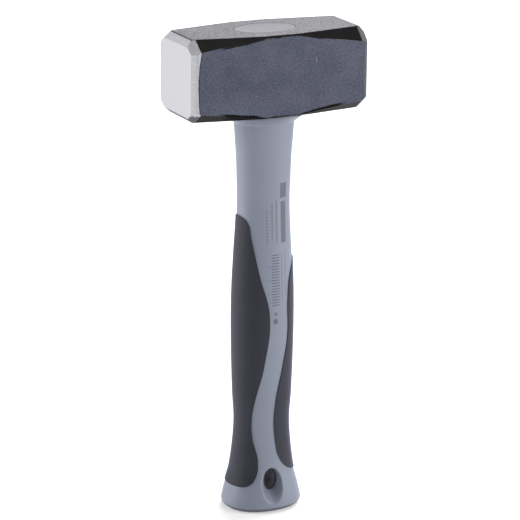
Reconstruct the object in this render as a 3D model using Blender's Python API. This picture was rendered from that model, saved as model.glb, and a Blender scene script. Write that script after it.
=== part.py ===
"""Lump hammer: a forged steel head potted with resin on an overmoulded fibreglass handle.

The hammer stands on its pommel. The origin is the centre of the pommel's flat base, +Z runs
up the handle, +X along the head from one striking face to the other, and -Y is the front.
Every length is in metres.
"""
import math

import bmesh
import bpy
from mathutils import Vector

GAP = 0.0003                    # between two pieces that touch on the real hammer

# Steel head: a forged block with an octagonal section that fades out towards its middle
HEAD_LENGTH = 0.100
HEAD_WIDTH = 0.043
HEAD_HEIGHT = 0.043
END_BEVEL_LENGTH = 0.0042       # ground bevel round each striking face, along the head
END_BEVEL_DEPTH = 0.0030        # the same bevel, measured in from the sides
FACE_CORNER = 0.0046            # corner cut of the octagonal striking face
EDGE_CHAMFER_Y = 0.0072         # chamfer of the four long edges where it is widest
EDGE_CHAMFER_Z = 0.0059
EDGE_CHAMFER_MIDDLE = 0.0010    # what is left of that chamfer beside the eye
EDGE_CHAMFER_STOP = 0.010       # from the head's middle to where the chamfer starts to widen

# Oval eye through the head, wider at the top so that the resin locks in it
EYE_HALF_WIDTH_TOP = 0.0169
EYE_HALF_DEPTH_TOP = 0.0114
EYE_TAPER = 0.0011              # how much narrower each half is at the underside
RESIN_OVER_CORE = 0.006

# Pultruded fibreglass core
CORE_HALF_WIDTH = 0.0105
CORE_HALF_DEPTH = 0.0075
CORE_CHAMFER = 0.0015

# Moulded jacket, from its flat base to the head's underside
HANDLE_LENGTH = 0.217
FOOT_RADIUS = 0.0030
SQUARENESS = 2.2                # exponent of the handle's oval: 2 is an ellipse
COLLAR_HEIGHT = 0.0047          # hollow flare under the collar's rim
COLLAR_FLARE = 0.0055           # how far it spreads
COLLAR_CURVE = 1.2              # 1 is a straight cone, more is hollower
COLLAR_RIM = 0.0013             # straight edge of the collar
JACKET_OVER_CORE = (            # share of the handle's length, wall to the side, wall to the front
    (0.014, 0.0112, 0.0108),
    (0.051, 0.0094, 0.0094),
    (0.097, 0.0067, 0.0070),
    (0.161, 0.0049, 0.0054),
    (0.224, 0.0041, 0.0047),
    (0.286, 0.0049, 0.0054),
    (0.369, 0.0055, 0.0060),
    (0.470, 0.0059, 0.0062),
    (0.562, 0.0057, 0.0059),
    (0.645, 0.0049, 0.0050),
    (0.724, 0.0040, 0.0039),
    (0.779, 0.0037, 0.0033),
    (0.834, 0.0040, 0.0035),
    (0.885, 0.0044, 0.0037),
    (0.931, 0.0051, 0.0043),
    (1.000, 0.0061, 0.0051),
)

# Soft grip panels let into the jacket's two sides, with the S-shaped band between them
PANEL_DEPTH = 0.0017            # into the jacket
PANEL_PROUD = 0.0005            # above the jacket
LEFT_BORDER = (                 # x, share of the handle's length, from the top down
    (-0.0152, 0.747),
    (-0.0128, 0.735),
    (-0.0110, 0.690),
    (-0.0077, 0.606),
    (-0.0023, 0.500),
    (-0.0050, 0.374),
    (-0.0099, 0.265),
    (-0.0102, 0.190),
    (-0.0079, 0.128),
    (-0.0098, 0.087),
    (-0.0140, 0.068),
    (-0.0195, 0.064),
)
RIGHT_BORDER = (
    (0.0156, 0.634),
    (0.0132, 0.618),
    (0.0108, 0.594),
    (0.0092, 0.540),
    (0.0092, 0.445),
    (0.0062, 0.370),
    (0.0020, 0.273),
    (0.0021, 0.184),
    (0.0048, 0.130),
    (0.0100, 0.103),
    (0.0175, 0.092),
)

# Hanging hole through the pommel, lined with the grip's soft plastic
HOLE_HEIGHT = 0.0168
HOLE_HALF_WIDTH = 0.0030
HOLE_HALF_HEIGHT = 0.0052
LINER_WALL = 0.0008
DISH_DEPTH = 0.0042             # of the hollow round each mouth of the hole
DISH_FLARE_SIDE = 0.0020
DISH_FLARE_UP = 0.0023
DISH_DROP = 0.0008              # the hollow's rim sits this much lower than the hole
DISH_CURVE = 1.5                # 1 is a straight cone, more is a rounder bowl
CORE_ABOVE_HOLE = 0.0030        # jacket left between the hole and the core's lower end

SIDES = 40                      # facets round the handle
ROWS = 38                       # rings up the handle
FINE_SIDES = 28                 # facets round the eye, the core and the hole
ARC_STEPS = 4                   # facets to a quarter round, and to a stretch of a border
DISH_STEPS = 6                  # rings down the hollow round the hole
PROFILE_STEPS = 12              # to a stretch of the jacket's profile
BEYOND = 0.010                  # how far a cutter runs past what it cuts
OUTSIDE = 0.035                 # clear of the handle on every side

HEAD_BOTTOM = HANDLE_LENGTH
HEAD_TOP = HANDLE_LENGTH + HEAD_HEIGHT
HEAD_MIDDLE = HANDLE_LENGTH + HEAD_HEIGHT / 2
EYE_HALF_WIDTH_BOTTOM = EYE_HALF_WIDTH_TOP - EYE_TAPER
EYE_HALF_DEPTH_BOTTOM = EYE_HALF_DEPTH_TOP - EYE_TAPER
CORE_TOP = HEAD_TOP - RESIN_OVER_CORE
LINER_HALF_WIDTH = HOLE_HALF_WIDTH + LINER_WALL
LINER_HALF_HEIGHT = HOLE_HALF_HEIGHT + LINER_WALL
CORE_BOTTOM = HOLE_HEIGHT + LINER_HALF_HEIGHT + GAP + CORE_ABOVE_HOLE


def clear_scene():
    for old in list(bpy.data.objects):
        bpy.data.objects.remove(old, do_unlink=True)


def material(name, colour, roughness, metallic=0.0):
    made = bpy.data.materials.new(name)
    made.use_nodes = True
    shader = made.node_tree.nodes["Principled BSDF"]
    shader.inputs["Base Color"].default_value = (*colour, 1.0)
    shader.inputs["Roughness"].default_value = roughness
    shader.inputs["Metallic"].default_value = metallic
    return made


def loft(name, rings):
    """A closed solid through rings of points, all with the same count, in order along it."""
    mesh = bpy.data.meshes.new(name)
    shape = bmesh.new()
    rows = [[shape.verts.new(point) for point in ring] for ring in rings]
    count = len(rows[0])
    for low, high in zip(rows, rows[1:]):
        for i in range(count):
            j = (i + 1) % count
            shape.faces.new((low[i], low[j], high[j], high[i]))
    shape.faces.new(rows[0])
    shape.faces.new(rows[-1])
    bmesh.ops.recalc_face_normals(shape, faces=shape.faces)
    shape.to_mesh(mesh)
    shape.free()
    made = bpy.data.objects.new(name, mesh)
    bpy.context.scene.collection.objects.link(made)
    return made


def smooth(piece, angle=35):
    piece.data.shade_smooth()
    piece.data.set_sharp_from_angle(angle=math.radians(angle))


def as_cutter(piece):
    piece.hide_render = True
    piece.display_type = "WIRE"
    return piece


def boolean(piece, cutter, operation):
    cut = piece.modifiers.new(f"{operation.lower()} {cutter.name}", "BOOLEAN")
    cut.operation = operation
    cut.object = as_cutter(cutter)
    cut.solver = "EXACT"


def oval(half_width, half_depth, z, sides, exponent=2.0):
    """A level ring of points, anticlockwise seen from above."""
    ring = []
    for i in range(sides):
        turn = 2 * math.pi * i / sides
        c = math.cos(turn)
        s = math.sin(turn)
        x = half_width * math.copysign(abs(c) ** (2 / exponent), c)
        y = half_depth * math.copysign(abs(s) ** (2 / exponent), s)
        ring.append(Vector((x, y, z)))
    return ring


def upright_oval(half_width, half_height, y, height):
    """A ring of points in a plane across the front, for what runs through the pommel."""
    ring = oval(half_width, half_height, 0.0, FINE_SIDES)
    return [Vector((point.x, y, height + point.y)) for point in ring]


def spline(points, steps):
    """Points along a smooth curve through the given ones, with `steps` to each stretch."""
    ends = [2 * points[0] - points[1], *points, 2 * points[-1] - points[-2]]
    curve = []
    for before, start, end, after in zip(ends, ends[1:], ends[2:], ends[3:]):
        leave = (end - before) / 2
        arrive = (after - start) / 2
        for k in range(steps):
            t = k / steps
            curve.append((2 * t**3 - 3 * t**2 + 1) * start + (t**3 - 2 * t**2 + t) * leave
                         + (3 * t**2 - 2 * t**3) * end + (t**3 - t**2) * arrive)
    return [*curve, points[-1].copy()]


# The jacket's profile as a fine curve of (height, wall to the side, wall to the front)
PROFILE = spline([Vector((share * HANDLE_LENGTH, side, front))
                  for share, side, front in JACKET_OVER_CORE], PROFILE_STEPS)


def jacket_half_sizes(z):
    """Half width and half depth of the jacket's oval at a height."""
    z = min(max(z, PROFILE[0].x), PROFILE[-1].x)
    for low, high in zip(PROFILE, PROFILE[1:]):
        if z <= high.x:
            break
    wall = low.lerp(high, (z - low.x) / (high.x - low.x))
    return CORE_HALF_WIDTH + wall.y, CORE_HALF_DEPTH + wall.z


def handle_ring(z, growth=0.0):
    half_width, half_depth = jacket_half_sizes(z)
    return oval(half_width + growth, half_depth + growth, z, SIDES, SQUARENESS)


def make_head():
    half_length = HEAD_LENGTH / 2
    half_width = HEAD_WIDTH / 2
    half_height = HEAD_HEIGHT / 2

    def section(x, inset, cut_y, cut_z):
        wide = half_width - inset
        high = half_height - inset
        corners = ((wide, high - cut_z), (wide - cut_y, high), (cut_y - wide, high),
                   (-wide, high - cut_z), (-wide, cut_z - high), (cut_y - wide, -high),
                   (wide - cut_y, -high), (wide, cut_z - high))
        return [Vector((x, y, HEAD_MIDDLE + z)) for y, z in corners]

    bevel_start = half_length - END_BEVEL_LENGTH
    half = [
        (half_length, END_BEVEL_DEPTH, FACE_CORNER, FACE_CORNER),
        (bevel_start, 0.0, EDGE_CHAMFER_Y, EDGE_CHAMFER_Z),
        (EDGE_CHAMFER_STOP, 0.0, EDGE_CHAMFER_MIDDLE, EDGE_CHAMFER_MIDDLE),
    ]
    rings = [section(-x, *cuts) for x, *cuts in half]
    rings += [section(x, *cuts) for x, *cuts in reversed(half)]
    head = loft("hammer_head", rings)
    head.data.materials.append(material("forged steel", (0.10, 0.10, 0.13), 0.45, 0.85))

    # The cutter keeps the eye's taper where it runs past both faces of the head
    slope = EYE_TAPER / HEAD_HEIGHT
    extra = slope * BEYOND
    eye = loft("eye cutter", [
        oval(EYE_HALF_WIDTH_BOTTOM - extra, EYE_HALF_DEPTH_BOTTOM - extra,
             HEAD_BOTTOM - BEYOND, FINE_SIDES),
        oval(EYE_HALF_WIDTH_TOP + extra, EYE_HALF_DEPTH_TOP + extra,
             HEAD_TOP + BEYOND, FINE_SIDES),
    ])
    boolean(head, eye, "DIFFERENCE")


def make_resin():
    """Poured round the core's end, flush with the head's top and underside."""
    resin = loft("eye_resin", [
        oval(EYE_HALF_WIDTH_BOTTOM - GAP, EYE_HALF_DEPTH_BOTTOM - GAP, HEAD_BOTTOM, FINE_SIDES),
        oval(EYE_HALF_WIDTH_TOP - GAP, EYE_HALF_DEPTH_TOP - GAP, HEAD_TOP, FINE_SIDES),
    ])
    resin.data.materials.append(material("potting resin", (0.45, 0.45, 0.48), 0.4))
    smooth(resin)
    boolean(resin, core_space("core space in resin", HEAD_BOTTOM - BEYOND, CORE_TOP + GAP),
            "DIFFERENCE")


def core_space(name, bottom, top):
    """The room that the core takes, with its clearance, between two heights."""
    half_width = CORE_HALF_WIDTH + GAP
    half_depth = CORE_HALF_DEPTH + GAP
    return loft(name, [oval(half_width, half_depth, bottom, FINE_SIDES),
                       oval(half_width, half_depth, top, FINE_SIDES)])


def make_core():
    tip_width = CORE_HALF_WIDTH - CORE_CHAMFER
    tip_depth = CORE_HALF_DEPTH - CORE_CHAMFER
    core = loft("fibreglass_core", [
        oval(tip_width, tip_depth, CORE_BOTTOM, FINE_SIDES),
        oval(CORE_HALF_WIDTH, CORE_HALF_DEPTH, CORE_BOTTOM + CORE_CHAMFER, FINE_SIDES),
        oval(CORE_HALF_WIDTH, CORE_HALF_DEPTH, CORE_TOP - CORE_CHAMFER, FINE_SIDES),
        oval(tip_width, tip_depth, CORE_TOP, FINE_SIDES),
    ])
    core.data.materials.append(material("fibreglass", (0.60, 0.55, 0.38), 0.5))
    smooth(core)


def offset_outline(points, distance):
    """Move an open outline sideways; its left-hand side, walking along it, is positive."""
    across = []
    for start, end in zip(points, points[1:]):
        along = (end - start).normalized()
        across.append(Vector((-along.y, along.x)))
    moved = []
    for i, point in enumerate(points):
        before = across[max(i - 1, 0)]
        after = across[min(i, len(across) - 1)]
        middle = (before + after).normalized()
        moved.append(point + middle * distance / middle.dot(before))
    return moved


def panel_prism(name, border, growth):
    """A block through the handle, front to back, with a grip panel's border on its inner side."""
    outer = math.copysign(OUTSIDE, border[0][0])
    curve = spline([Vector((x, share * HANDLE_LENGTH)) for x, share in border], ARC_STEPS)
    outline = offset_outline([Vector((outer, curve[0].y)), *curve, Vector((outer, curve[-1].y))],
                             math.copysign(growth, -outer))
    return loft(name, [[Vector((point.x, y, point.y)) for point in outline]
                       for y in (-OUTSIDE, OUTSIDE)])


def panel_band(name, border, under, over, growth):
    """A stretch of the handle's skin between two depths, cut to a grip panel's border."""
    shares = [share for _, share in border]
    bottom = min(shares) * HANDLE_LENGTH - BEYOND / 2
    top = max(shares) * HANDLE_LENGTH + BEYOND / 2
    rows = round(ROWS * (top - bottom) / HANDLE_LENGTH)
    heights = [bottom + (top - bottom) * i / rows for i in range(rows + 1)]
    band = loft(name, [handle_ring(z, over) for z in heights])
    inner = loft(f"{name} inner side", [handle_ring(z, -under)
                                        for z in (bottom - BEYOND, *heights, top + BEYOND)])
    boolean(band, inner, "DIFFERENCE")
    boolean(band, panel_prism(f"{name} border", border, growth), "INTERSECT")
    return band


def make_grip_panels():
    rubber = material("soft grip", (0.045, 0.045, 0.06), 0.55)
    for side, border in (("left", LEFT_BORDER), ("right", RIGHT_BORDER)):
        panel = panel_band(f"grip_panel_{side}", border, PANEL_DEPTH, PANEL_PROUD, 0.0)
        panel.data.materials.append(rubber)
        smooth(panel)
    return rubber


def dish_cutter(front):
    """The hollow round one mouth of the hanging hole; front is -1 or 1 along Y.

    Its floor is square to the hole, and its rim leans with the pommel's flare.
    """
    floor = jacket_half_sizes(HOLE_HEIGHT)[1] - DISH_DEPTH
    above = jacket_half_sizes(HOLE_HEIGHT + LINER_HALF_HEIGHT)[1]
    below = jacket_half_sizes(HOLE_HEIGHT - LINER_HALF_HEIGHT)[1]
    lean = (below - above) / (2 * LINER_HALF_HEIGHT)
    rings = []
    for k in range(DISH_STEPS + 1):
        rise = k / DISH_STEPS
        flare = rise ** DISH_CURVE
        if k == DISH_STEPS:
            rise = 1 + BEYOND / DISH_DEPTH
            flare = 1 + DISH_CURVE * BEYOND / DISH_DEPTH
        ring = upright_oval(LINER_HALF_WIDTH + GAP + DISH_FLARE_SIDE * flare,
                            LINER_HALF_HEIGHT + GAP + DISH_FLARE_UP * flare,
                            0.0, HOLE_HEIGHT - DISH_DROP * flare)
        for point in ring:
            point.y = front * (floor + DISH_DEPTH * rise
                               + lean * min(rise, 1) * (HOLE_HEIGHT - point.z))
        rings.append(ring)
    return loft(f"dish cutter {front}", rings)


def make_jacket():
    # Foot rounded by an arc, then the profile, then the collar's flare and rim
    foot_width, foot_depth = jacket_half_sizes(FOOT_RADIUS)
    rings = []
    for k in range(ARC_STEPS + 1):
        turn = math.radians(90 * k / ARC_STEPS)
        inset = FOOT_RADIUS * (1 - math.sin(turn))
        z = FOOT_RADIUS * (1 - math.cos(turn))
        rings.append(oval(foot_width - inset, foot_depth - inset, z, SIDES, SQUARENESS))
    neck_top = HANDLE_LENGTH - GAP - COLLAR_RIM - COLLAR_HEIGHT
    rings += [handle_ring(FOOT_RADIUS + (neck_top - FOOT_RADIUS) * i / ROWS)
              for i in range(1, ROWS + 1)]
    for k in range(1, ARC_STEPS + 1):
        rise = k / ARC_STEPS
        rings.append(handle_ring(neck_top + COLLAR_HEIGHT * rise,
                                 COLLAR_FLARE * rise ** COLLAR_CURVE))
    rim = [Vector((point.x, point.y, HANDLE_LENGTH - GAP)) for point in rings[-1]]
    jacket = loft("handle_jacket", [*rings, rim])
    jacket.data.materials.append(material("moulded jacket", (0.30, 0.34, 0.42), 0.42))
    smooth(jacket)

    for side, border in (("left", LEFT_BORDER), ("right", RIGHT_BORDER)):
        recess = panel_band(f"{side} panel recess", border, PANEL_DEPTH + GAP, BEYOND / 2, GAP)
        boolean(jacket, recess, "DIFFERENCE")
    boolean(jacket, core_space("core space in jacket", CORE_BOTTOM - GAP, HEAD_BOTTOM + BEYOND),
            "DIFFERENCE")
    hole = loft("hole cutter", [upright_oval(LINER_HALF_WIDTH + GAP, LINER_HALF_HEIGHT + GAP,
                                             y, HOLE_HEIGHT) for y in (-OUTSIDE, OUTSIDE)])
    boolean(jacket, hole, "DIFFERENCE")
    for front in (-1, 1):
        boolean(jacket, dish_cutter(front), "DIFFERENCE")


def make_hole_liner(rubber):
    half_length = jacket_half_sizes(HOLE_HEIGHT)[1] - DISH_DEPTH
    liner = loft("hang_hole_liner", [
        upright_oval(LINER_HALF_WIDTH, LINER_HALF_HEIGHT, y, HOLE_HEIGHT)
        for y in (-half_length, half_length)])
    liner.data.materials.append(rubber)
    smooth(liner)
    bore = loft("liner bore", [upright_oval(HOLE_HALF_WIDTH, HOLE_HALF_HEIGHT, y, HOLE_HEIGHT)
                               for y in (-OUTSIDE, OUTSIDE)])
    boolean(liner, bore, "DIFFERENCE")


clear_scene()
make_head()
make_resin()
make_core()
make_jacket()
make_hole_liner(make_grip_panels())
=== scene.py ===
"""Lump hammer: the finished look of the part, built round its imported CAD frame.

The hammer stands on its pommel at the origin, +Z up the handle, +X along the head, -Y in front.
Lengths are in metres, and names ending in mm are in millimetres.
"""
import math

import bpy
from mathutils import Matrix, Vector


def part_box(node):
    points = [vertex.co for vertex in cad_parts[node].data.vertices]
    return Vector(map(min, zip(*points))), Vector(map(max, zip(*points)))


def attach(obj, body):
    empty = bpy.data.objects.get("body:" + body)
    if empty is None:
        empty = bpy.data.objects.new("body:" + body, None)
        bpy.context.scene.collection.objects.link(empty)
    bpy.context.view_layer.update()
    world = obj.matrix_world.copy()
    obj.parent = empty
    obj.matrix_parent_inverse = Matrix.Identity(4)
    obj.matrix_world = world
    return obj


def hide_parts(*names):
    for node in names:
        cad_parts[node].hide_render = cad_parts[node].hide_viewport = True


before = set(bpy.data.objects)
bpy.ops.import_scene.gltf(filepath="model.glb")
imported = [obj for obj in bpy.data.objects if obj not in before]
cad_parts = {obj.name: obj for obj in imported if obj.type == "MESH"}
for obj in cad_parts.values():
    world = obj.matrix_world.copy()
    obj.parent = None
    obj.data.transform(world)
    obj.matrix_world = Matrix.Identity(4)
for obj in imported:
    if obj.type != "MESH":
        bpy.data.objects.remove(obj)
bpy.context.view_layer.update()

# ------------------------------------------------------------------------------ Forged head
# A drop-forged block of tool steel. It is lacquered black all over, then its four flats are
# belt ground to a grey grain and its two striking ends are ground bright and bevelled,
# so that black is left only in the long chamfers, which fade out towards the eye. The grey
# is painted lighter on the top and foot as painted light, and darker and bluish on the sides
# as painted shade and painted reflection.

MM = 0.001
head_low, head_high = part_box("hammer_head")
head_middle = (head_low + head_high) / 2
half_long, half_wide, half_high = (head_high - head_low) / 2

# For each end (1 is the right one) and for the top (1) or the foot (-1): how far a chamfer
# reaches in across that flat, and down or up the side
CHAMFER_MM = {(-1, 1): (7.9, 5.6), (1, 1): (6.9, 7.0),
              (-1, -1): (7.8, 5.7), (1, -1): (6.4, 5.0)}
CHAMFER_END = 4.6 * MM        # the chamfers are widest this far from the striking faces,
CHAMFER_FADE = 10 * MM        # and fade out at this distance from the middle,
MIDDLE_CHAMFER = 1.1 * MM     # where only this narrow one is left
BEVEL_LONG = 3.1 * MM         # ground end bevels, along the head
BEVEL_ROUND = 1.25            # 1 is a flat bevel, more is rounder
BEVEL_BENDS = (0, 0.25, 0.5, 0.75, 1)         # shares of a bevel's length between its flats
FACE_IN_UP = {1: 3.8 * MM, -1: 3.0 * MM}      # the striking faces end this far in from the top
FACE_IN_SIDE = {1: 2.0 * MM, -1: 3.0 * MM}    # or foot, and from the back or front
FACE_CORNER = 3.5 * MM
FACE_RIM = 0.85 * MM          # rounding where a striking face meets its bevels
EDGE_ROUND = 0.55 * MM        # rounding of all the other edges

EYE_HALF_WIDTH, EYE_HALF_DEPTH = 16.9 * MM, 11.4 * MM         # at the head's top
EYE_TAPER = 1.1 * MM          # how much less both are at its foot
EYE_SIDES = 96


def pick(piece):
    """Make this the only selected object, and the active one."""
    bpy.ops.object.select_all(action="DESELECT")
    piece.select_set(True)
    bpy.context.view_layer.objects.active = piece


def settle(name):
    """Name the active object and put its place and size into its mesh."""
    piece = bpy.context.object
    piece.name = piece.data.name = name
    pick(piece)
    bpy.ops.object.transform_apply(location=True, rotation=True, scale=True)
    return piece


def combine(piece, tool, operation):
    """Cut a piece with another solid, or keep what the two share; the tool then goes."""
    pick(piece)
    cut = piece.modifiers.new(tool.name, "BOOLEAN")
    cut.operation, cut.object, cut.solver = operation, tool, "EXACT"
    bpy.ops.object.modifier_apply(modifier=cut.name)
    bpy.data.objects.remove(tool)


def slice_off(point, outwards):
    """In edit mode, cut away all that lies beyond a plane and close the cut."""
    bpy.ops.mesh.select_all(action="SELECT")
    bpy.ops.mesh.bisect(plane_co=point, plane_no=outwards, use_fill=True, clear_outer=True,
                        threshold=1e-7)


def plane_through(a, b, c, outwards):
    """A point and an outward normal for the plane through three points."""
    normal = (b - a).cross(c - a).normalized()
    return a, normal if normal.dot(outwards) > 0 else -normal


bpy.ops.object.select_all(action="DESELECT")
bpy.ops.mesh.primitive_cube_add(size=2, location=head_middle,
                                scale=(half_long, half_wide, half_high))
head = settle("forged_head")
bpy.ops.object.mode_set(mode="EDIT")


def on_head(x, y, z):
    """A point of the head measured from its middle."""
    return head_middle + Vector((x, y, z))


for end in (-1, 1):
    widest_x = end * (half_long - CHAMFER_END)
    for front in (-1, 1):
        for top in (-1, 1):
            across, down = (mm * MM for mm in CHAMFER_MM[end, top])
            slice_off(*plane_through(
                on_head(widest_x, front * (half_wide - across), top * half_high),
                on_head(widest_x, front * half_wide, top * (half_high - down)),
                on_head(end * CHAMFER_FADE, front * (half_wide - MIDDLE_CHAMFER), top * half_high),
                Vector((0, front, top))))
for front in (-1, 1):
    for top in (-1, 1):
        slice_off(on_head(0, front * (half_wide - MIDDLE_CHAMFER), top * half_high),
                  Vector((0, front, top)))


def grind_bevel(start, along, depth, outwards):
    """Flats that make one rounded bevel, from a line on the head's side to the striking face."""
    end = math.copysign(1, start.x)
    length = half_long - abs(start.x)
    bend = [start + Vector((end * length * t, 0, 0)) - outwards * depth * t ** BEVEL_ROUND
            for t in BEVEL_BENDS]
    for low, high in zip(bend, bend[1:]):
        slice_off(*plane_through(low, low + along, high, outwards + Vector((end, 0, 0))))


for end in (-1, 1):
    bevel_x, corner_x = end * (half_long - BEVEL_LONG), end * (half_long - CHAMFER_END)
    for side in (-1, 1):
        grind_bevel(on_head(bevel_x, 0, side * half_high), Vector((0, 1, 0)),
                    FACE_IN_UP[side], Vector((0, 0, side)))
        grind_bevel(on_head(bevel_x, side * half_wide, 0), Vector((0, 0, 1)),
                    FACE_IN_SIDE[side], Vector((0, side, 0)))
        for top in (-1, 1):
            across, down = (mm * MM for mm in CHAMFER_MM[end, top])
            on_top = on_head(corner_x, side * (half_wide - across), top * half_high)
            on_side = on_head(corner_x, side * half_wide, top * (half_high - down))
            rim = on_head(0, side * (half_wide - FACE_IN_SIDE[side] - FACE_CORNER / 2),
                          top * (half_high - FACE_IN_UP[top] - FACE_CORNER / 2))
            leaning = Vector((0, side * down, top * across)).normalized()
            grind_bevel(on_top, (on_side - on_top).normalized(),
                        (on_top - rim).dot(leaning), leaning)
bpy.ops.object.mode_set(mode="OBJECT")

# The grinding wheel has taken the sharp rim off both striking faces
for face in head.data.polygons:
    face.select = abs(face.normal.x) > 0.999
bpy.ops.object.mode_set(mode="EDIT")
bpy.ops.mesh.region_to_loop()
bpy.ops.mesh.bevel(offset=FACE_RIM, segments=4, affect="EDGES", clamp_overlap=True)
bpy.ops.mesh.select_all(action="SELECT")
bpy.ops.mesh.normals_make_consistent(inside=False)
bpy.ops.object.mode_set(mode="OBJECT")


def eye_shaped(name, gap, half_height):
    """An upright solid with the eye's oval section and taper, smaller all round by a gap."""
    bpy.ops.mesh.primitive_cylinder_add(
        vertices=EYE_SIDES, radius=1, depth=2, location=head_middle,
        scale=(EYE_HALF_WIDTH - gap, EYE_HALF_DEPTH - gap, half_height))
    piece = settle(name)
    for corner in piece.data.vertices:
        narrower = (head_high.z - corner.co.z) / (2 * half_high) * EYE_TAPER
        corner.co.x *= 1 - narrower / EYE_HALF_WIDTH
        corner.co.y *= 1 - narrower / EYE_HALF_DEPTH
    return piece


combine(head, eye_shaped("eye tool", 0, half_high * 1.2), "DIFFERENCE")


def round_edges(piece, width, segments, angle):
    """Round every edge sharper than an angle, then smooth the shading over the flats."""
    pick(piece)
    bevel = piece.modifiers.new("rounded edges", "BEVEL")
    bevel.width, bevel.segments, bevel.limit_method = width, segments, "ANGLE"
    bevel.angle_limit = math.radians(angle)
    bpy.ops.object.modifier_apply(modifier=bevel.name)
    bpy.ops.object.shade_smooth()
    weighted = piece.modifiers.new("flat faces stay flat", "WEIGHTED_NORMAL")
    weighted.keep_sharp = True
    bpy.ops.object.modifier_apply(modifier=weighted.name)


round_edges(head, EDGE_ROUND, segments=3, angle=12)


class Value:
    """A node socket that can be used in plain arithmetic; each sum adds its Math node."""

    def __init__(self, tree, socket):
        self.tree = tree
        self.socket = socket

    def maths(self, operation, first, second=0.0):
        node = self.tree.nodes.new("ShaderNodeMath")
        node.operation = operation
        for place, value in zip(node.inputs, (first, second)):
            if isinstance(value, Value):
                self.tree.links.new(value.socket, place)
            else:
                place.default_value = value
        return Value(self.tree, node.outputs[0])

    def __add__(self, other):
        return self.maths("ADD", self, other)

    def __sub__(self, other):
        return self.maths("SUBTRACT", self, other)

    def __rsub__(self, other):
        return self.maths("SUBTRACT", other, self)

    def __mul__(self, other):
        return self.maths("MULTIPLY", self, other)

    def __truediv__(self, other):
        return self.maths("DIVIDE", self, other)

    def __rtruediv__(self, other):
        return self.maths("DIVIDE", other, self)

    def __pow__(self, other):
        return self.maths("POWER", self, other)

    def __rpow__(self, other):
        return self.maths("POWER", other, self)

    def __abs__(self):
        return self.maths("ABSOLUTE", self)

    __radd__ = __add__
    __rmul__ = __mul__


class Nodes:
    """A node tree being filled, for a material or for the world."""

    def __init__(self, tree):
        self.tree = tree

    def node(self, kind, settings=None, values=None, output=0):
        """Add a node, set it, feed its sockets with values or links, and give back an output."""
        node = self.tree.nodes.new(kind)
        for name, setting in (settings or {}).items():
            setattr(node, name, setting)
        for socket, value in (values or {}).items():
            self.feed(node.inputs[socket], value)
        return Value(self.tree, node.outputs[output])

    def feed(self, socket, value):
        """Link a socket to a Value, or set it to a number or a colour."""
        if isinstance(value, Value):
            self.tree.links.new(value.socket, socket)
        elif isinstance(value, tuple) and len(value) == 3 and socket.type == "RGBA":
            socket.default_value = (*value, 1.0)
        else:
            socket.default_value = value


class Finish(Nodes):
    """A material being made up; x, y and z are the place on the piece in millimetres."""

    def __init__(self, name, constants=None):
        self.material = bpy.data.materials.new(name)
        self.material.use_nodes = True
        super().__init__(self.material.node_tree)
        self.shader = self.tree.nodes["Principled BSDF"]
        for socket, value in (constants or {}).items():
            self.shader.inputs[socket].default_value = value
        place = self.node("ShaderNodeTexCoord", output="Object")
        self.mm = self.node("ShaderNodeVectorMath", {"operation": "SCALE"},
                            {0: place, "Scale": 1 / MM})
        self.x, self.y, self.z = (self.node("ShaderNodeSeparateXYZ", {}, {0: self.mm}, axis)
                                  for axis in "XYZ")

    def largest(self, first, second):
        return self.node("ShaderNodeMath", {"operation": "MAXIMUM"}, {0: first, 1: second})

    def smallest(self, first, second):
        return self.node("ShaderNodeMath", {"operation": "MINIMUM"}, {0: first, 1: second})

    def step(self, value, low, high):
        """0 before low, 1 past high and a soft change between; high may be the smaller one."""
        return self.node("ShaderNodeMapRange", {"interpolation_type": "SMOOTHSTEP"},
                         {"Value": value, "From Min": low, "From Max": high})

    def noise(self, size_mm, detail=3.0, roughness=0.5, stretch=(1, 1, 1)):
        """Noise about 0.5 whose features are about this many millimetres across."""
        turned = self.node("ShaderNodeMapping", {}, {"Vector": self.mm, "Scale": stretch})
        return self.node("ShaderNodeTexNoise", {}, {"Vector": turned, "Scale": 1 / size_mm,
                                                     "Detail": detail, "Roughness": roughness})

    def blend(self, share, first, second):
        """The first colour where share is 0 and the second where it is 1."""
        return self.node("ShaderNodeMix", {"data_type": "RGBA"}, {0: share, 6: first, 7: second},
                         output=2)

    def surface(self, **varying):
        """Feed the shader's sockets, which are given by their names."""
        for socket, value in varying.items():
            self.feed(self.shader.inputs[socket.replace("_", " ").title()], value)

    def relief(self, height, depth_mm):
        """Bump from a height that is worth depth_mm at 1."""
        self.surface(normal=self.node("ShaderNodeBump", {},
                                      {"Strength": 1.0, "Distance": depth_mm * MM,
                                       "Height": height}))


def dress(piece, finish, node):
    """Give a finished piece its material and its body, and hide the CAD node it stands for."""
    piece.data.materials.clear()
    piece.data.materials.append(finish.material)
    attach(piece, "root")
    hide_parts(node)


# The darkest and lightest of each finish, then the bright bevels' glints and painted shade
# The ground steel comes in two copies: a darker bluish one for the sides, which is painted shade
# and painted reflection, and a lighter one for the top and foot, which is painted light
SHADED_SIDE_GREY = (0.042, 0.045, 0.066), (0.116, 0.121, 0.159)
LIT_TOP_GREY = (0.066, 0.064, 0.071), (0.208, 0.203, 0.221)
LACQUER = (0.006, 0.006, 0.006), (0.020, 0.019, 0.019)
NICK_DARK_AND_GLINT = (0.035, 0.037, 0.05), (0.155, 0.16, 0.19)
BRIGHT = (0.38, 0.38, 0.40), (0.48, 0.48, 0.50)
GLINT, BEVEL_SHADE = (0.62, 0.62, 0.65), (0.075, 0.076, 0.085)

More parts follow.
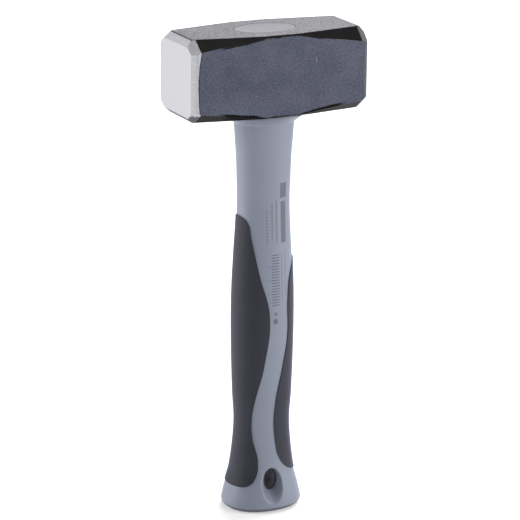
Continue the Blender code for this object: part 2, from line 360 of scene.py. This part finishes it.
# How far the bright grinding reaches in from the ends: on the left end's sides, where it
# widens towards the top and the foot, on the right end's sides, on the chamfers, on the flats.
# On the right end's sides it is kept narrow, so that the flats' darker colour covers that end's
# bevels as painted shade
BRIGHT_LEFT_MM, BRIGHT_RIGHT_MM, BRIGHT_CHAMFER_MM, BRIGHT_FLAT_MM = 2.9, 1.0, 4.45, 2.5
WIDER_AT_TOP_MM, WIDER_AT_FOOT_MM = 1.6, 0.5
SIDE_HALF_HEIGHT_MM = 15.8

# The nick: its place along the head, its ends above the head's middle, and how much it leans
NICK_X_MM, NICK_LOW_MM, NICK_HIGH_MM, NICK_LEAN = 19.4, 6.0, 8.9, 0.17

steel = Finish("forged steel", {"Specular IOR Level": 0.02})
level = steel.z - head_middle.z / MM
from_end = half_long / MM - abs(steel.x)
from_side = half_wide / MM - abs(steel.y)
from_top = half_high / MM - abs(level)
to_right = steel.step(steel.x, -1, 1)
to_foot = steel.step(-1 * level, -1, 1)

fine_grain = steel.noise(0.5, 3, 0.7)
speckle = steel.noise(1.2, 4, 0.75)
cloud = steel.noise(16, 3, 0.5)
brushed = steel.noise(0.5, 3, 0.6, (1, 1, 0.12))

# How wide the chamfers are here, and how far into one a point lies
fade = steel.largest(abs(steel.x) - CHAMFER_FADE / MM, 0.0) / (
    (half_long - CHAMFER_FADE - CHAMFER_END) / MM)


def chamfer_width(which):
    """A chamfer's width here in mm: 0 for across the flat, 1 for down the side."""
    narrow = MIDDLE_CHAMFER / MM
    left = (CHAMFER_MM[-1, 1][which] + CHAMFER_MM[-1, -1][which]) / 2 - narrow
    right_top, right_foot = (CHAMFER_MM[1, top][which] - narrow for top in (1, -1))
    return narrow + fade * (left - to_right * (left - right_top
                                               + to_foot * (right_top - right_foot)))


past_side = from_top - chamfer_width(1)
past_flat = from_side - chamfer_width(0)
inside = (steel.smallest(from_side, from_top) * 1.7
          - steel.largest(steel.largest(past_side, past_flat), 0.0))

# The lacquer's border with the ground flats is ragged, and most of all where the chamfer is
# narrow. There the belt has also missed a strip of the side below the chamfer
ragged = (steel.noise(0.7, 4, 0.7) - 0.5) * 1.6 + (steel.noise(4.5, 3, 0.6) - 0.5) * 1.6
ragged = ragged * (steel.step(fade, 0.95, 0.25) * 0.85 + 0.15)
missed = 1.2 + 5.0 * fade ** 0.7
below_chamfer = (steel.step(missed + ragged - from_top, -0.1, 0.25)
                 * steel.step(from_top, 0.15, 0.5) * steel.step(fade, 0.8, 0.6))
ground = steel.step(inside + ragged * 0.6, 0.32, 0.12) * (1 - below_chamfer)

# The bright steel's border. The lacquer is left a little thicker beside it, as a dark line
lift = level / SIDE_HALF_HEIGHT_MM
widening = steel.smallest(lift * lift, 1.0) * (
    WIDER_AT_TOP_MM - to_foot * (WIDER_AT_TOP_MM - WIDER_AT_FOOT_MM))
on_a_side = steel.step(past_side, -0.3, 0.5)
on_a_flat = steel.step(past_flat, -0.3, 0.5)
side_width = (BRIGHT_LEFT_MM + widening) * (1 - to_right) + to_right * BRIGHT_RIGHT_MM
other_width = BRIGHT_CHAMFER_MM - on_a_flat * (BRIGHT_CHAMFER_MM - BRIGHT_FLAT_MM)
waver = (steel.noise(2.5, 3) - 0.5) * 0.5
past_border = side_width * on_a_side + (1 - on_a_side) * other_width + waver - from_end
bright = steel.step(past_border, -0.1, 0.1)
not_bright = 1 - bright
lip = steel.step(past_border, -0.75, -0.35) * on_a_side
ground = ground * (1 - lip * 0.55)

# Belt-ground sides, and a top and foot that still show the pits of the forging scale. The top
# and foot get the lighter grey as painted light, and the sides the darker bluish grey as painted
# shade
on_top = steel.step(from_top, 0.25, 0.05)
scale_pits = steel.step(steel.noise(1.1, 5, 0.8), 0.42, 0.60)
grain_tone = steel.step(fine_grain * 0.5 + speckle * 0.35 + cloud * 0.15, 0.36, 0.66)
flat_colour = steel.blend(on_top, steel.blend(grain_tone, *SHADED_SIDE_GREY),
                          steel.blend(scale_pits * 0.75 + cloud * 0.25, *LIT_TOP_GREY))

# One knock has left a nick in the front, near the right end: a light line of painted highlight
# beside a dark one
nick_off = steel.x - NICK_X_MM + (level - 7.4) * NICK_LEAN
nick_here = (steel.step(level, NICK_LOW_MM - 0.3, NICK_LOW_MM + 0.3)
             * steel.step(level, NICK_HIGH_MM + 0.3, NICK_HIGH_MM - 0.3)
             * steel.step(steel.y, -20, -21))
for off, colour in ((nick_off, NICK_DARK_AND_GLINT[1]), (nick_off - 0.48, NICK_DARK_AND_GLINT[0])):
    flat_colour = steel.blend(steel.step(abs(off), 0.34, 0.12) * nick_here, flat_colour, colour)

# Bright ends, whose bevels glint where they are clean. Painted shade darkens the bevels on the
# right end, and low on the left one
on_bevel = steel.step(from_end, 0.15, 0.7)
low_bevel = to_foot * steel.step(from_top + speckle * 4, 7.2, 5.8)
shaded_bevel = on_bevel * steel.largest(low_bevel, to_right)
clean_colour = steel.blend(brushed * 0.7 + cloud * 0.3, *BRIGHT)
glinting = steel.blend(on_bevel * steel.step(speckle, 0.45, 0.62) * 0.5, clean_colour, GLINT)
bright_colour = steel.blend(shaded_bevel * 0.9, glinting, BEVEL_SHADE)

# The lacquer's faint lighter clouds stay on the upper chamfers, so the foot's chamfers stay
# darkest as painted shade
lacquer_colour = steel.blend(cloud * (1 - to_foot), *LACQUER)
steel.surface(
    base_color=steel.blend(bright, steel.blend(ground, lacquer_colour, flat_colour),
                           bright_colour),
    metallic=bright * 0.85 + not_bright * ground * 0.45,
    roughness=bright * (0.58 + brushed * 0.14)
    + not_bright * (ground * (0.42 + speckle * 0.2) + (1 - ground) * (0.16 + speckle * 0.12)))
steel.relief((fine_grain * 0.7 + speckle * 0.5 + scale_pits * on_top * 0.6 + 0.3)
             * ground * not_bright + brushed * bright * 0.15, 0.2)
dress(head, steel, "hammer_head")

# ------------------------------------------------------------------------------ Eye resin
# Grey epoxy poured round the core's end while the head hangs upside down, so the top is
# flush and smooth, and has shrunk by a hair from the steel all round.

CORE_HALF_WIDTH, CORE_HALF_DEPTH = 10.5 * MM, 7.5 * MM
CORE_SIDES = 48
GAP = 0.3 * MM                # the room that the CAD leaves between pieces
OVERRUN = 5 * MM              # how far a cutting tool starts outside what it cuts
SHRINK, BELOW_FLUSH = 0.18 * MM, 0.02 * MM
SUNK_RINGS_MM = ((1.2, 0.12), (3, 0.10))      # the top's rings: in from the last, and down
EPOXY = (0.168, 0.166, 0.190), (0.202, 0.200, 0.225)
core_low, core_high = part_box("fibreglass_core")

resin = eye_shaped("poured_resin", SHRINK, half_high - BELOW_FLUSH)
bpy.ops.object.mode_set(mode="EDIT")
bpy.ops.mesh.select_mode(type="FACE")
bpy.ops.mesh.select_all(action="DESELECT")
bpy.ops.object.mode_set(mode="OBJECT")
for face in resin.data.polygons:
    face.select = face.normal.z > 0.9
bpy.ops.object.mode_set(mode="EDIT")
for inwards, lower in SUNK_RINGS_MM:
    bpy.ops.mesh.inset(thickness=inwards * MM)
    bpy.ops.transform.translate(value=(0, 0, -lower * MM))
bpy.ops.object.mode_set(mode="OBJECT")


def core_room(low, high):
    """A tool that makes room for the core between two heights."""
    half_run = (high - low) / 2
    bpy.ops.mesh.primitive_cylinder_add(
        vertices=CORE_SIDES, radius=1, depth=2, location=(0, 0, low + half_run),
        scale=(CORE_HALF_WIDTH + GAP, CORE_HALF_DEPTH + GAP, half_run))
    return settle("core room")


combine(resin, core_room(head_low.z - OVERRUN, core_high.z + GAP), "DIFFERENCE")
round_edges(resin, 0.2 * MM, segments=2, angle=30)

epoxy = Finish("potting resin", {"Specular IOR Level": 0.4})
streak = epoxy.noise(6, 3, 0.5)
dust = epoxy.noise(0.9, 3, 0.6)
epoxy.surface(base_color=epoxy.blend(streak, *EPOXY), roughness=0.6 + dust * 0.16)
epoxy.relief(dust * 0.5 + streak, 0.03)
dress(resin, epoxy, "eye_resin")

# ------------------------------------------------------------------------------ Core
# A pultruded rod of glass fibre in polyester, straw coloured, with its fibres along the
# handle. It is sealed in the jacket and the resin, so its CAD shape stays as it is.

STRAW = (0.48, 0.42, 0.26), (0.68, 0.63, 0.46)

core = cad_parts["fibreglass_core"]
rod = Finish("fibreglass")
fibres = rod.noise(0.5, 4, 0.6, (1, 1, 0.04))
rod.surface(base_color=rod.blend(fibres, *STRAW), roughness=0.42 + fibres * 0.2)
rod.relief(fibres, 0.05)
for place in range(len(core.data.materials)):
    core.data.materials[place] = rod.material

# ------------------------------------------------------------------------------ Jacket
# Blue-grey polypropylene moulded over the core in one shot, from the flared pommel to the
# collar under the head, with recesses for the grip and a dished hole to hang it by.

HANDLE_LENGTH = head_low.z
# Up the handle: height as a percentage of its length, then how far the jacket's surface
# stands out past the core at the sides and in front, in mm
PROFILE_MM = ((1.4, 11.2, 10.8), (5.1, 9.4, 9.4), (9.7, 6.7, 7.0), (16.1, 4.9, 5.4),
              (22.4, 4.1, 4.7), (28.6, 4.9, 5.4), (36.9, 5.5, 6.0), (47.0, 5.9, 6.2),
              (56.2, 5.7, 5.9), (64.5, 4.9, 5.0), (72.4, 4.0, 3.9), (77.9, 3.7, 3.3),
              (83.4, 4.0, 3.5), (88.5, 4.4, 3.7), (93.1, 5.1, 4.3), (100.0, 6.1, 5.1))
FOOT_ROUND, FOOT_ROWS = 3.6 * MM, 6
COLLAR_HEIGHT, COLLAR_FLARE, COLLAR_RIM = 4.7 * MM, 5.5 * MM, 1.3 * MM
COLLAR_CURVE, COLLAR_ROWS = 1.2, 8
ROW_STEP = 2.0 * MM
SQUARED = 2.2                 # 2 is a plain oval, more is squarer
ROUND_SIDES = 96
SMOOTH_BELOW = math.radians(35)


def half_sizes(height):
    """Half width and half depth of the handle, on a smooth curve through the profile."""
    share = min(max(height / HANDLE_LENGTH * 100, PROFILE_MM[0][0]), 100)
    spot = max(i for i in range(len(PROFILE_MM) - 1) if PROFILE_MM[i][0] <= share)
    start, end = Vector(PROFILE_MM[spot]), Vector(PROFILE_MM[spot + 1])
    before = Vector(PROFILE_MM[spot - 1]) if spot else 2 * start - end
    after = Vector(PROFILE_MM[spot + 2]) if spot + 2 < len(PROFILE_MM) else 2 * end - start
    t = (share - start.x) / (end.x - start.x)
    wall = ((2 * t**3 - 3 * t**2 + 1) * start + (t**3 - 2 * t**2 + t) * (end - before) / 2
            + (3 * t**2 - 2 * t**3) * end + (t**3 - t**2) * (after - start) / 2)
    return CORE_HALF_WIDTH + wall.y * MM, CORE_HALF_DEPTH + wall.z * MM


# Rows from the foot up: height, half width, half depth
rows = []
for i in range(FOOT_ROWS + 1):
    turn = math.radians(90 * i / FOOT_ROWS)
    inset = FOOT_ROUND * (1 - math.sin(turn))
    rows.append((FOOT_ROUND * (1 - math.cos(turn)),
                 *(half - inset for half in half_sizes(FOOT_ROUND))))
neck_top = HANDLE_LENGTH - GAP - COLLAR_RIM - COLLAR_HEIGHT
steps = round((neck_top - FOOT_ROUND) / ROW_STEP)
for i in range(1, steps + 1):
    height = FOOT_ROUND + (neck_top - FOOT_ROUND) * i / steps
    rows.append((height, *half_sizes(height)))
for i in range(1, COLLAR_ROWS + 1):
    height = neck_top + COLLAR_HEIGHT * i / COLLAR_ROWS
    rows.append((height, *(half + COLLAR_FLARE * (i / COLLAR_ROWS) ** COLLAR_CURVE
                           for half in half_sizes(height))))
rows.append((HANDLE_LENGTH - GAP, *rows[-1][1:]))

# The foot's outline is a circle squared off a little; every row is drawn up from it
bpy.ops.object.select_all(action="DESELECT")
bpy.ops.mesh.primitive_circle_add(vertices=ROUND_SIDES, radius=1, fill_type="NGON")
jacket = settle("moulded_jacket")
for corner in jacket.data.vertices:
    for axis in (0, 1):
        corner.co[axis] = math.copysign(abs(corner.co[axis]) ** (2 / SQUARED), corner.co[axis])
bpy.ops.object.mode_set(mode="EDIT")
bpy.ops.mesh.select_all(action="SELECT")
now = (0, 1, 1)
for row in rows:
    if row is not rows[0]:
        bpy.ops.mesh.extrude_region_move(
            TRANSFORM_OT_translate={"value": (0, 0, row[0] - now[0])})
    bpy.ops.transform.resize(value=(row[1] / now[1], row[2] / now[2], 1),
                             center_override=(0, 0, row[0]))
    now = row
bpy.ops.mesh.select_all(action="SELECT")
bpy.ops.mesh.normals_make_consistent(inside=False)
bpy.ops.object.mode_set(mode="OBJECT")

jacket_blank = jacket.copy()
jacket_blank.data = jacket.data.copy()
bpy.context.collection.objects.link(jacket_blank)


def grown(name, growth):
    """A copy of the plain handle, grown or shrunk all over."""
    piece = jacket_blank.copy()
    piece.data = jacket_blank.data.copy()
    piece.name = name
    bpy.context.collection.objects.link(piece)
    pick(piece)
    bpy.ops.object.mode_set(mode="EDIT")
    bpy.ops.mesh.select_all(action="SELECT")
    bpy.ops.transform.shrink_fatten(value=growth, use_even_offset=True)
    bpy.ops.object.mode_set(mode="OBJECT")
    return piece


# Borders of the soft grip as seen from the front: x and height in mm, from the top down
BORDERS_MM = {
    "left": ((-40, 162.1), (-15.2, 162.1), (-12.8, 159.5), (-11.0, 149.7), (-7.7, 131.5),
             (-2.3, 108.5), (-5.0, 81.2), (-9.9, 57.5), (-10.2, 41.2), (-7.9, 27.8),
             (-9.8, 18.9), (-14.0, 14.8), (-19.5, 13.9), (-40, 13.9)),
    "right": ((40, 137.6), (15.6, 137.6), (13.2, 134.1), (10.8, 128.9), (9.2, 117.2),
              (9.2, 96.6), (6.2, 80.3), (2.0, 59.2), (2.1, 39.9), (4.8, 28.2),
              (10.0, 22.4), (17.5, 20.0), (40, 20.0)),
}
GRIP_DEPTH = 1.7 * MM
CUT_THROUGH = 35 * MM         # half the length of a tool that cuts right through the handle


def border_block(side):
    """A block right through the handle, front to back, that ends at a grip's border."""
    bpy.ops.object.select_all(action="DESELECT")
    bpy.ops.curve.primitive_bezier_curve_add(location=(0, 0, 0))
    outline = bpy.context.object.data
    outline.dimensions, outline.fill_mode = "2D", "BOTH"
    outline.extrude, outline.resolution_u = CUT_THROUGH, 10
    spline = outline.splines[0]
    spline.bezier_points.add(len(BORDERS_MM[side]) - 2)
    spline.use_cyclic_u = True
    for i, (point, (x, z)) in enumerate(zip(spline.bezier_points, BORDERS_MM[side])):
        outside = i in (0, len(BORDERS_MM[side]) - 1)
        point.co = (x * MM, z * MM, 0)
        point.handle_left_type = point.handle_right_type = "VECTOR" if outside else "AUTO"
    bpy.ops.object.convert(target="MESH")
    block = bpy.context.object
    block.rotation_euler = (math.radians(90), 0, 0)
    block = settle(f"{side} border block")
    bpy.ops.object.mode_set(mode="EDIT")
    bpy.ops.mesh.select_all(action="SELECT")
    bpy.ops.mesh.remove_doubles(threshold=1e-6)
    bpy.ops.mesh.normals_make_consistent(inside=False)
    bpy.ops.object.mode_set(mode="OBJECT")
    return block


for side in BORDERS_MM:
    recess = border_block(side)
    combine(recess, grown("recess floor", -GRIP_DEPTH), "DIFFERENCE")
    combine(jacket, recess, "DIFFERENCE")

# The hole and the dish round each of its mouths
hole_low, hole_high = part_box("hang_hole_liner")
hole_middle = (hole_low + hole_high) / 2
hole_half_width, _, hole_half_height = (hole_high - hole_low) / 2
HOLE_SIDES = 64
LINER_ROOM = 0.1 * MM                 # between the liner and the jacket
DISH_FLARE = (2.6 * MM, 4.1 * MM)     # how much wider and higher the dish is than the hole
DISH_DROP, DISH_SHIFT = 2.7 * MM, 0.8 * MM    # its rim sits lower, and a little to one side
DISH_RINGS = 10
DISH_SWEEP = math.radians(80)         # 90 would run its wall out level with the surface
DISH_CLEAR = 0.1 * MM                 # how far its tool clears the surface at the rim


def surface_out(x, z):
    """How far the plain handle's surface stands out in front at a place."""
    half_width, half_depth = half_sizes(z)
    return half_depth * (1 - min(abs(x) / half_width, 1) ** SQUARED) ** (1 / SQUARED)


def level_oval(name, outwards, half_run):
    """A solid along Y with the hole's section, larger all round by a distance."""
    bpy.ops.mesh.primitive_cylinder_add(
        vertices=HOLE_SIDES, radius=1, depth=2, location=hole_middle,
        rotation=(math.radians(90), 0, 0),
        scale=(hole_half_width + outwards, hole_half_height + outwards, half_run))
    return settle(name)


combine(jacket, level_oval("hole tool", LINER_ROOM, CUT_THROUGH), "DIFFERENCE")
mouth = hole_high.y
for front in (-1, 1):
    bpy.ops.object.select_all(action="DESELECT")
    bpy.ops.mesh.primitive_circle_add(vertices=HOLE_SIDES, radius=1, fill_type="NGON",
                                      location=(0, front * mouth, hole_middle.z),
                                      rotation=(math.radians(90), 0, 0))
    bpy.context.object.scale = (hole_half_width, hole_half_height, 1)
    dish = settle(f"dish tool {front}")
    bpy.ops.object.mode_set(mode="EDIT")
    bpy.ops.mesh.select_all(action="SELECT")
    wide, high, shift, middle = hole_half_width, hole_half_height, 0, hole_middle.z
    for i in range(1, DISH_RINGS + 2):
        share = i / DISH_RINGS
        new = (hole_half_width + DISH_FLARE[0] * share, hole_half_height + DISH_FLARE[1] * share,
               front * DISH_SHIFT * share, hole_middle.z - DISH_DROP * share)
        bpy.ops.mesh.extrude_region_move(TRANSFORM_OT_translate={
            "value": (new[2] - shift, front * MM, new[3] - middle)})
        bpy.ops.transform.resize(value=(new[0] / wide, 1, new[1] / high),
                                 center_override=(new[2], 0, new[3]))
        wide, high, shift, middle = new
    bpy.ops.mesh.extrude_region_move(
        TRANSFORM_OT_translate={"value": (0, front * DISH_RINGS * 2 * MM, 0)})
    bpy.ops.mesh.select_all(action="SELECT")
    bpy.ops.mesh.normals_make_consistent(inside=False)
    bpy.ops.object.mode_set(mode="OBJECT")

    # Each ring now lies a millimetre out from the last; let the wall end along the surface
    for corner in dish.data.vertices:
        ring = (abs(corner.co.y) - mouth) / MM
        if ring < DISH_RINGS + 1.5:
            rise = math.sin(DISH_SWEEP * min(ring / DISH_RINGS, 1)) / math.sin(DISH_SWEEP)
            beyond = max(ring - DISH_RINGS, 0) * DISH_CLEAR
            corner.co.y = front * (mouth + (surface_out(corner.co.x, corner.co.z) - mouth) * rise
                                   + beyond)
        else:
            corner.co.y = front * CUT_THROUGH
    combine(jacket, dish, "DIFFERENCE")

combine(jacket, core_room(core_low.z - GAP, HANDLE_LENGTH + OVERRUN), "DIFFERENCE")
pick(jacket)
bpy.ops.object.shade_smooth_by_angle(angle=SMOOTH_BELOW)

BLUE_GREY = (0.168, 0.186, 0.240), (0.188, 0.206, 0.262)
INK, SHADE_TONE = (0.060, 0.064, 0.092), (0.04, 0.04, 0.046)
FOOT_SHADE, COLLAR_SHADE = 0.75, 0.26

plastic = Finish("moulded jacket", {"Specular IOR Level": 0.45})
spark = plastic.noise(0.28, 3, 0.6)
flow = plastic.noise(22, 2, 0.5, (1, 1, 0.5))
scuffs = plastic.step(plastic.noise(3.0, 5, 0.7), 0.62, 0.78)
body = plastic.blend(flow, *BLUE_GREY)


def stamped(low_x, high_x, low_z, high_z, soft=0.12):
    """1 inside a printed rectangle on the front, given in mm."""
    return (plastic.step(plastic.x, low_x - soft, low_x + soft)
            * plastic.step(plastic.x, high_x + soft, high_x - soft)
            * plastic.step(plastic.z, low_z - soft, low_z + soft)
            * plastic.step(plastic.z, high_z + soft, high_z - soft))


def ticks(pitch, share):
    """1 on evenly spaced level ticks, each covering a share of the pitch."""
    turn = plastic.node("ShaderNodeMath", {"operation": "FRACT"}, {0: plastic.z / pitch})
    return plastic.step(turn, share, share - 0.12) * plastic.step(turn, 0.0, 0.12)


# Pad-printed marks: plain bars, rows of ticks, a scale and two squares, with no lettering
bars = stamped(4.6, 8.6, 171.5, 179.5) + stamped(5.0, 8.2, 147.5, 169.5)
tick_rows = (
    (stamped(1.9, 2.8, 148, 170.5) + stamped(-0.7, 0.2, 150, 169.5) * 0.8) * ticks(1.3, 0.7)
    + stamped(-3.6, -2.7, 148, 166) * 0.7 * ticks(1.7, 0.6)
    + (stamped(4.7, 5.6, 117, 142.5) + stamped(6.9, 7.7, 120, 142.5)) * 0.55 * ticks(1.1, 0.7))
scale = (stamped(-0.9, 3.6, 114, 142.4) * ticks(1.5, 0.5)
         + stamped(-3.6, -0.8, 114, 142.4) * ticks(7.5, 0.14))
squares = stamped(0.0, 2.6, 104.2, 106.8) + stamped(0.4, 2.2, 108.6, 110.4) * 0.8
front_only = plastic.step(plastic.y, -4, -6)
wear = plastic.step(plastic.noise(1.1, 4, 0.6), 0.30, 0.48)
ink = (bars + tick_rows + scale + squares) * front_only * (0.72 + wear * 0.28)
printed = plastic.blend(ink * 0.85, body, INK)

# Painted shade darkens the foot's rounded lower edge and the collar just under the head
below_head = HANDLE_LENGTH / MM - plastic.z
painted_shade = (plastic.step(plastic.z, 2.8, 1.9) * FOOT_SHADE
         + plastic.step(below_head, 5.5, 3.5) * COLLAR_SHADE)
plastic.surface(base_color=plastic.blend(painted_shade, printed, SHADE_TONE),
                roughness=0.40 + spark * 0.10 - scuffs * 0.06)
plastic.relief(spark * 0.5 + flow * 0.8, 0.03)
dress(jacket, plastic, "handle_jacket")

# ------------------------------------------------------------------------------ Soft grip
# Two dark panels of thermoplastic elastomer, moulded into the jacket's recesses in the
# second shot. They stand a little proud of it, and have a matt, faintly grained skin.

GRIP_PROUD, GRIP_GAP = 0.5 * MM, 0.12 * MM
NEAR_BLACK = (0.009, 0.009, 0.017), (0.014, 0.014, 0.024)

rubber = Finish("soft grip", {"Sheen Weight": 0.25, "Sheen Roughness": 0.4,
                             "Sheen Tint": (0.56, 0.60, 1.0, 1.0),
                             "Specular IOR Level": 0.35})
skin = rubber.noise(0.35, 3, 0.6)
bloom = rubber.noise(14, 3, 0.5)
rubber.surface(base_color=rubber.blend(bloom, *NEAR_BLACK), roughness=0.56 + skin * 0.14)
rubber.relief(skin, 0.05)
for side in BORDERS_MM:
    panel = grown(f"grip_{side}", GRIP_PROUD)
    combine(panel, grown("panel back", GRIP_GAP - GRIP_DEPTH), "DIFFERENCE")
    combine(panel, border_block(side), "INTERSECT")
    pick(panel)
    bpy.ops.object.shade_smooth_by_angle(angle=SMOOTH_BELOW)
    dress(panel, rubber, f"grip_panel_{side}")
bpy.data.objects.remove(jacket_blank)

# ------------------------------------------------------------------------------ Hole liner
# A short oval tube of the same soft plastic as the grip lines the hanging hole, moulded in
# the same shot as the panels. Its inside is painted far lighter than the plastic, as painted
# light in the deep hole, and its rims keep the plastic's dark colour.

WALL = 0.8 * MM
DARK_RIM, LIT_INSIDE = (0.022, 0.022, 0.028), ((0.19, 0.185, 0.205), (0.25, 0.245, 0.27))
half_run = (hole_high.y - hole_low.y) / 2

bpy.ops.object.select_all(action="DESELECT")
liner = level_oval("hole_liner", 0, half_run)
combine(liner, level_oval("liner bore", -WALL, half_run * 2), "DIFFERENCE")
round_edges(liner, 0.25 * MM, segments=3, angle=40)
sleeve = Finish("hole liner", {"Specular IOR Level": 0.35})
inside_mottle = sleeve.noise(0.8, 3, 0.6)
deep = sleeve.step(hole_high.y / MM - abs(sleeve.y), 0.3, 1.2)
sleeve.surface(base_color=sleeve.blend(deep, DARK_RIM, sleeve.blend(inside_mottle, *LIT_INSIDE)),
               roughness=0.5 + inside_mottle * 0.15)
sleeve.relief(inside_mottle, 0.04)
dress(liner, sleeve, "hang_hole_liner")

# ------------------------------------------------------------------------------ Studio
# A plain pale floor before an even white background. Soft panels light the hammer from both
# sides and from behind, and a far, wide sun, high behind it and to its right, lights its top
# and the floor.

LIGHTS_AIM = Vector((0, 0, 0.15))
bpy.ops.object.select_all(action="DESELECT")
bpy.ops.mesh.primitive_plane_add(size=8, location=(0, 0, 0))
floor = bpy.context.object
floor.name = "floor"
paper = Finish("floor", {"Emission Color": (1, 1, 1, 1), "Emission Strength": 0.35})
mottle = paper.noise(120, 2, 0.5)
paper.surface(base_color=paper.blend(mottle, (0.69, 0.69, 0.69), (0.71, 0.71, 0.71)),
              roughness=0.8 + mottle * 0.1)
floor.data.materials.append(paper.material)


def way_out(azimuth, elevation):
    """The way out from the hammer at two angles in degrees; azimuth 0 is in front, 90 at +X."""
    turn, rise = math.radians(azimuth), math.radians(elevation)
    return Vector((math.sin(turn) * math.cos(rise), -math.cos(turn) * math.cos(rise),
                   math.sin(rise)))


def soft_light(name, azimuth, elevation, distance, width, height, power):
    """A rectangular light that faces the hammer's middle."""
    back = way_out(azimuth, elevation)
    light = bpy.data.lights.new(name, "AREA")
    light.shape, light.size, light.size_y, light.energy = "RECTANGLE", width, height, power
    holder = bpy.data.objects.new(name, light)
    bpy.context.scene.collection.objects.link(holder)
    holder.location = LIGHTS_AIM + back * distance
    holder.rotation_euler = (-back).to_track_quat("-Z", "Y").to_euler()
    holder.visible_camera = False


soft_light("left light", -112, 10, distance=1.2, width=0.8, height=1.2, power=14.5)
soft_light("right light", 50, 10, distance=1.2, width=0.8, height=1.2, power=13)
soft_light("backdrop light", 140, 14, distance=1.6, width=1.2, height=0.5, power=9)

sun = bpy.data.lights.new("back light", "SUN")
sun.energy, sun.angle = 2.9, math.radians(40)
sun_holder = bpy.data.objects.new("back light", sun)
bpy.context.scene.collection.objects.link(sun_holder)
sun_holder.rotation_euler = (math.radians(-40), 0, math.radians(-50))

# The background is seen as white, and lights the hammer with much less than that
world = bpy.data.worlds.new("studio")
bpy.context.scene.world = world
world.use_nodes = True
air = Nodes(world.node_tree)
air.tree.nodes.remove(air.tree.nodes["Background"])
seen = air.node("ShaderNodeBackground", {}, {"Color": (1.0, 1.0, 1.0), "Strength": 1.0})
dim = air.node("ShaderNodeBackground", {}, {"Color": (0.97, 0.98, 1.0), "Strength": 0.38})
is_seen = air.node("ShaderNodeLightPath", output="Is Camera Ray")
air.feed(air.tree.nodes["World Output"].inputs["Surface"],
         air.node("ShaderNodeMixShader", {}, {0: is_seen, 1: dim, 2: seen}))
bpy.context.scene.view_settings.view_transform = "Standard"

# The camera, in front of the hammer, to its left and a little above it
AZIMUTH, ELEVATION, ROLL = -25.96, 16.33, math.radians(0.52)
DISTANCE, AIM_HEIGHT, AIM_SHIFT, LENS = 1.42396, 0.13566, -0.001429, 187.41
back = way_out(AZIMUTH, ELEVATION)
level_right = (-back).cross(Vector((0, 0, 1))).normalized()
upright = back.cross(level_right)
right = math.cos(ROLL) * level_right + math.sin(ROLL) * upright
up = math.cos(ROLL) * upright - math.sin(ROLL) * level_right
aim = Vector((0, 0, AIM_HEIGHT)) + right * AIM_SHIFT
camera = bpy.data.objects.new("camera", bpy.data.cameras.new("camera"))
bpy.context.scene.collection.objects.link(camera)
camera.data.lens, camera.data.sensor_width = LENS, 36
camera.data.clip_start, camera.data.clip_end = 0.05, 50
camera.matrix_world = (Matrix.Translation(aim + back * DISTANCE)
                       @ Matrix((right, up, back)).transposed().to_4x4())
bpy.context.scene.camera = camera
